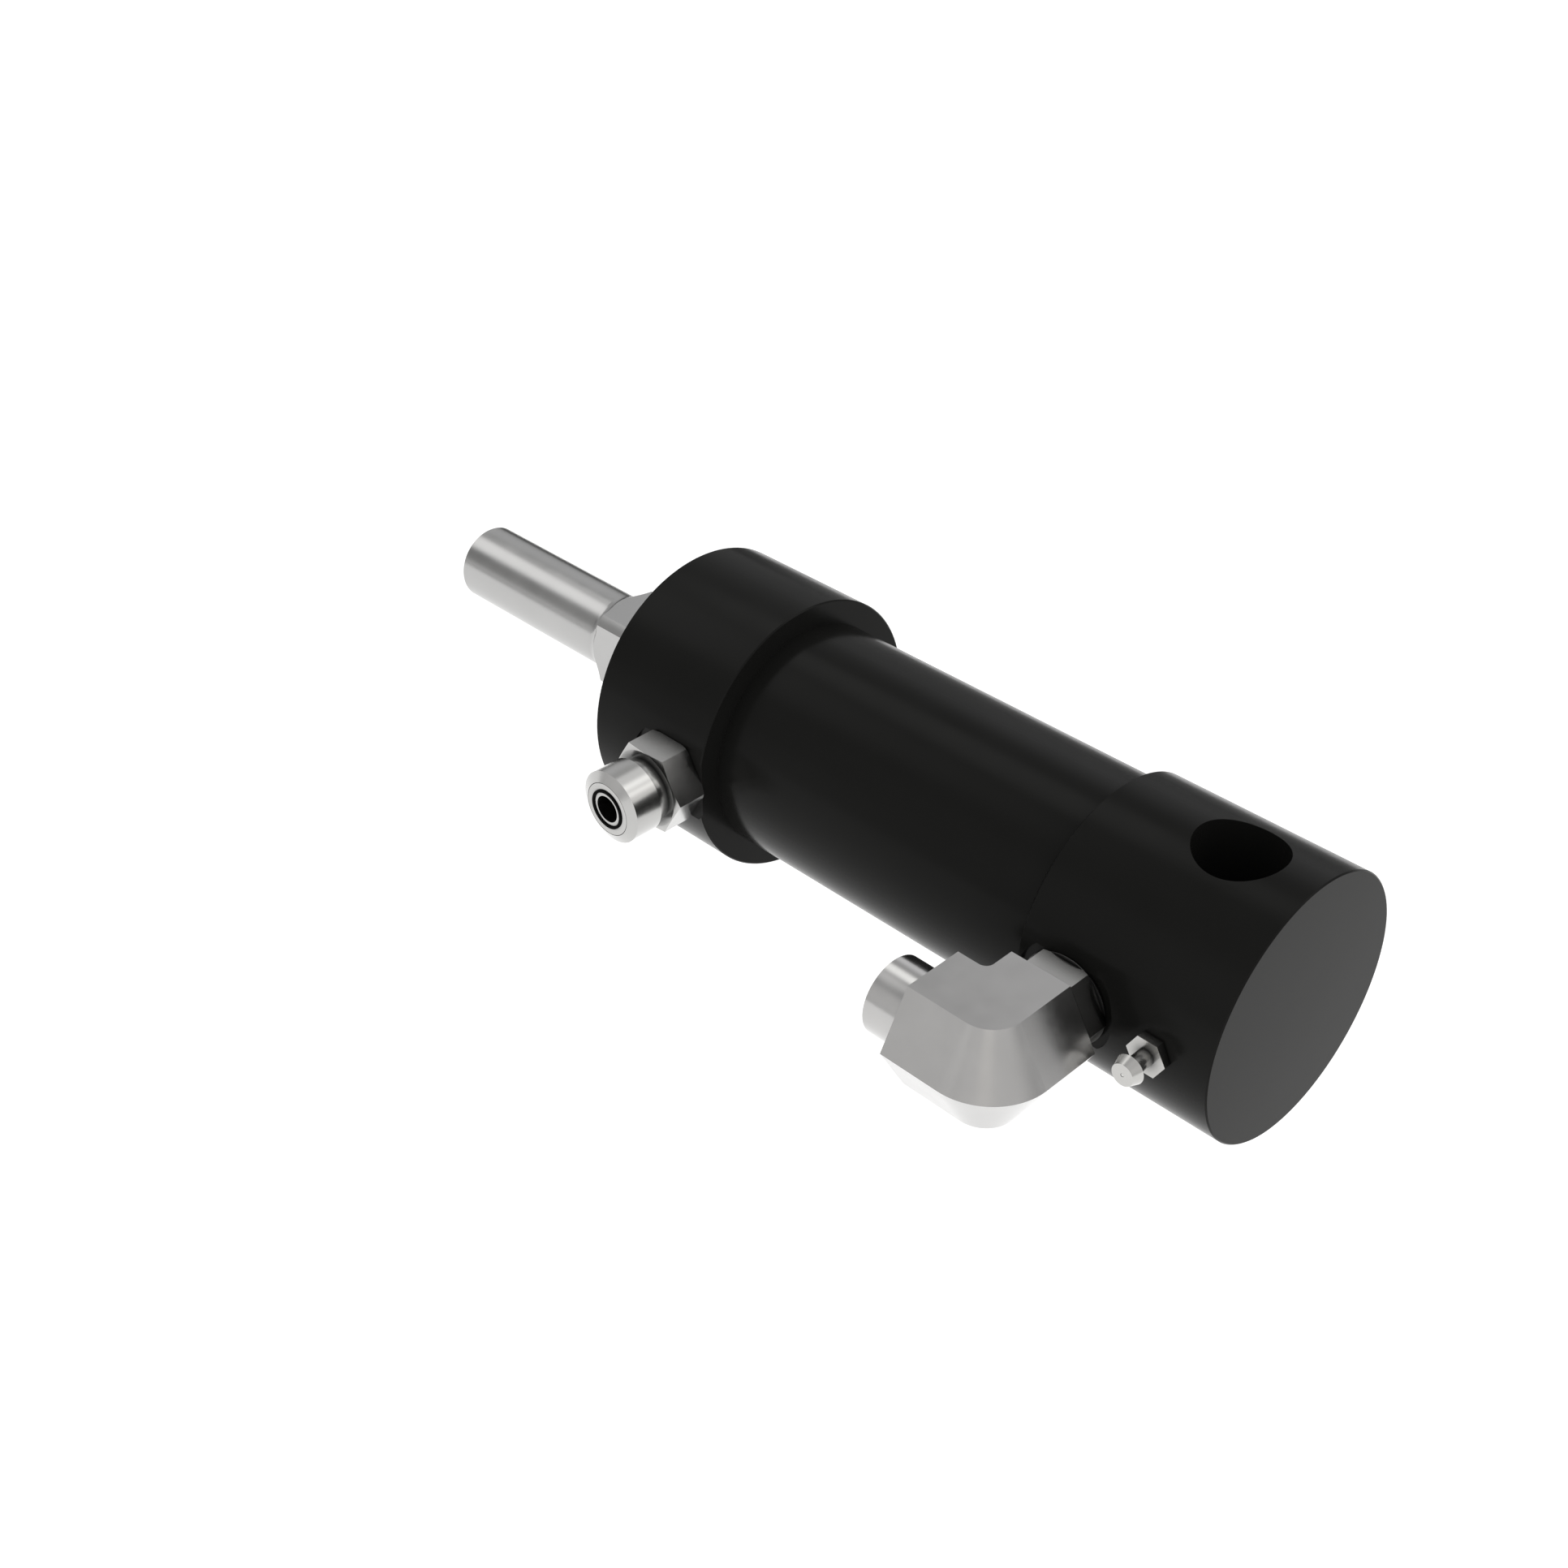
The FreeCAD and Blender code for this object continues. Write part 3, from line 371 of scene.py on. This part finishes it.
def check_spring():
    """Coil spring under the check ball, made to fill the box of the CAD spring."""
    low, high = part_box("grease_check_spring")
    middle = (low + high) / 2
    coil_r = min(high.x - low.x, high.z - low.z) / 2 - SPRING_WIRE_R
    span = high.y - low.y - 2 * SPRING_WIRE_R
    steps = int(SPRING_STEPS_A_TURN * span / SPRING_PITCH)

    def build(mesh):
        rings = []
        for i in range(steps + 1):
            turn = 2 * math.pi * i / SPRING_STEPS_A_TURN
            y = high.y - SPRING_WIRE_R - span * i / steps
            ring = []
            for j in range(SPRING_WIRE_SIDES):
                around = 2 * math.pi * j / SPRING_WIRE_SIDES
                r = coil_r + SPRING_WIRE_R * math.cos(around)
                ring.append(mesh.verts.new((
                    middle.x + r * math.cos(turn),
                    y + SPRING_WIRE_R * math.sin(around),
                    middle.z + r * math.sin(turn),
                )))
            rings.append(ring)
        for here, there in zip(rings, rings[1:]):
            for j in range(SPRING_WIRE_SIDES):
                k = (j + 1) % SPRING_WIRE_SIDES
                mesh.faces.new((here[j], here[k], there[k], there[j]))
        mesh.faces.new(rings[0])
        mesh.faces.new(rings[-1])

    spring = object_from("check_spring", build)
    wire = turned_metal("check_spring_wire", "Y", (0.40, 0.40, 0.39), 0.35)
    spring.data.materials.append(wire.material)
    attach(spring, "barrel")
    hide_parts("grease_check_spring")
    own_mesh(spring)


# -------------------------------------------------------------------- stage


def direction(azimuth, elevation):
    """Unit vector for a compass angle from +X towards +Y and a height angle, in degrees."""
    a = math.radians(azimuth)
    e = math.radians(elevation)
    return Vector((math.cos(a) * math.cos(e), math.sin(a) * math.cos(e), math.sin(e)))


# Sky brightness by height: elevation in degrees, level
SKY = (
    (-90, 1.0), (-8, 0.95), (-2, 0.62), (4, 0.46),
    (12, 0.48), (30, 0.52), (60, 0.44), (90, 0.58),
)
# Soft patches in the sky: azimuth, elevation, inner and outer radius in degrees, tint, and a
# level that is added to the sky's, below 0 for a dark patch
PATCHES = (
    (-169, 43, 6, 20, (1.0, 0.995, 0.985), 0.98),
    (153, 56, 4, 14, (1.0, 1.0, 0.98), 1.25),
    (53, 46, 8, 22, (1.0, 0.99, 0.97), 0.80),
    (38, 28, 6, 20, (1.0, 0.98, 0.95), 0.65),
    (84, 58, 14, 26, (1.0, 1.0, 0.99), 0.58),
    (112, 28, 6, 20, (1.0, 1.0, 1.03), 0.45),
    (140, 26, 4, 18, (0.98, 1.0, 1.03), 0.12),
    (-45, 24, 35, 75, (1.0, 0.985, 0.96), 0.27),
    (-52, 30, 4, 22, (1.0, 0.93, 0.82), 0.15),
    (-122, 18, 8, 30, (1.0, 0.99, 0.97), 0.24),
    (-140, 22, 3, 16, (1.0, 1.0, 1.0), -0.36),
)


def add_world():
    """Soft studio surround: brightness by height, plus soft-edged bright and dark patches."""
    world = bpy.data.worlds.new("studio")
    world.use_nodes = True
    tree = world.node_tree
    tree.nodes.clear()
    place = tree.nodes.new("ShaderNodeTexCoord")
    split = tree.nodes.new("ShaderNodeSeparateXYZ")
    tree.links.new(place.outputs["Generated"], split.inputs["Vector"])
    level = tree.nodes.new("ShaderNodeMapRange")
    level.inputs["From Min"].default_value = -1.0
    level.inputs["From Max"].default_value = 1.0
    tree.links.new(split.outputs["Z"], level.inputs["Value"])
    ramp = tree.nodes.new("ShaderNodeValToRGB")
    tree.links.new(level.outputs["Result"], ramp.inputs["Fac"])
    elements = ramp.color_ramp.elements
    while len(elements) < len(SKY):
        elements.new(0.5)
    for element, (elevation, value) in zip(elements, SKY):
        element.position = (math.sin(math.radians(elevation)) + 1) / 2
        element.color = (value, value, value, 1.0)
    total = ramp.outputs["Color"]
    for azimuth, elevation, inner, outer, tint, strength in PATCHES:
        facing = tree.nodes.new("ShaderNodeVectorMath")
        facing.operation = "DOT_PRODUCT"
        facing.inputs[1].default_value = direction(azimuth, elevation)
        tree.links.new(place.outputs["Generated"], facing.inputs[0])
        edge = tree.nodes.new("ShaderNodeMapRange")
        edge.interpolation_type = "SMOOTHSTEP"
        edge.inputs["From Min"].default_value = math.cos(math.radians(outer))
        edge.inputs["From Max"].default_value = math.cos(math.radians(inner))
        tree.links.new(facing.outputs["Value"], edge.inputs["Value"])
        add = tree.nodes.new("ShaderNodeVectorMath")
        add.operation = "MULTIPLY_ADD"
        add.inputs[1].default_value = [strength * channel for channel in tint]
        tree.links.new(edge.outputs["Result"], add.inputs[0])
        tree.links.new(total, add.inputs[2])
        total = add.outputs["Vector"]
    light = tree.nodes.new("ShaderNodeBackground")
    tree.links.new(total, light.inputs["Color"])
    output = tree.nodes.new("ShaderNodeOutputWorld")
    tree.links.new(light.outputs["Background"], output.inputs["Surface"])
    bpy.context.scene.world = world


def add_floor():
    """Plain white floor, far enough below that the part throws no visible shadow on it."""
    lowest = CAD_BOX[0].z
    half = FLOOR_SIZE / 2
    data = bpy.data.meshes.new("floor")
    corners = [(-half, -half), (half, -half), (half, half), (-half, half)]
    data.from_pydata([(x, y, lowest - FLOOR_DROP) for x, y in corners], [], [(0, 1, 2, 3)])
    floor = bpy.data.objects.new("floor", data)
    bpy.context.collection.objects.link(floor)
    paint = Surface("floor_white", (FLOOR_WHITE, FLOOR_WHITE, FLOOR_WHITE), MATT)
    paint.shader.inputs["Emission Color"].default_value = (1.0, 1.0, 1.0, 1.0)
    paint.shader.inputs["Emission Strength"].default_value = FLOOR_GLOW
    data.materials.append(paint.material)


def add_flag(name, middle, half_width, grey):
    """Grey flag that stands on the floor far behind the part, and only darkens its reflections."""
    foot = CAD_BOX[0].z - FLOOR_DROP
    top = FLAG_DISTANCE * math.tan(math.radians(FLAG_TOP))
    reach = FLAG_DISTANCE / math.cos(math.radians(half_width))
    left = AIM + direction(middle - half_width, 0) * reach
    right = AIM + direction(middle + half_width, 0) * reach
    data = bpy.data.meshes.new(name)
    corners = [(spot.x, spot.y, foot) for spot in (left, right)]
    corners += [(spot.x, spot.y, top) for spot in (right, left)]
    data.from_pydata(corners, [], [(0, 1, 2, 3)])
    flag = bpy.data.objects.new(name, data)
    bpy.context.collection.objects.link(flag)
    data.materials.append(Surface(name + "_card", (grey, grey, grey), MATT).material)
    flag.visible_camera = False
    flag.visible_diffuse = False
    flag.visible_shadow = False


add_camera()
dress_cad_nodes()
weld_bead()
check_spring()
add_world()
add_floor()
for flag_settings in FLAGS:
    add_flag(*flag_settings)
bpy.context.scene.view_settings.view_transform = "Standard"
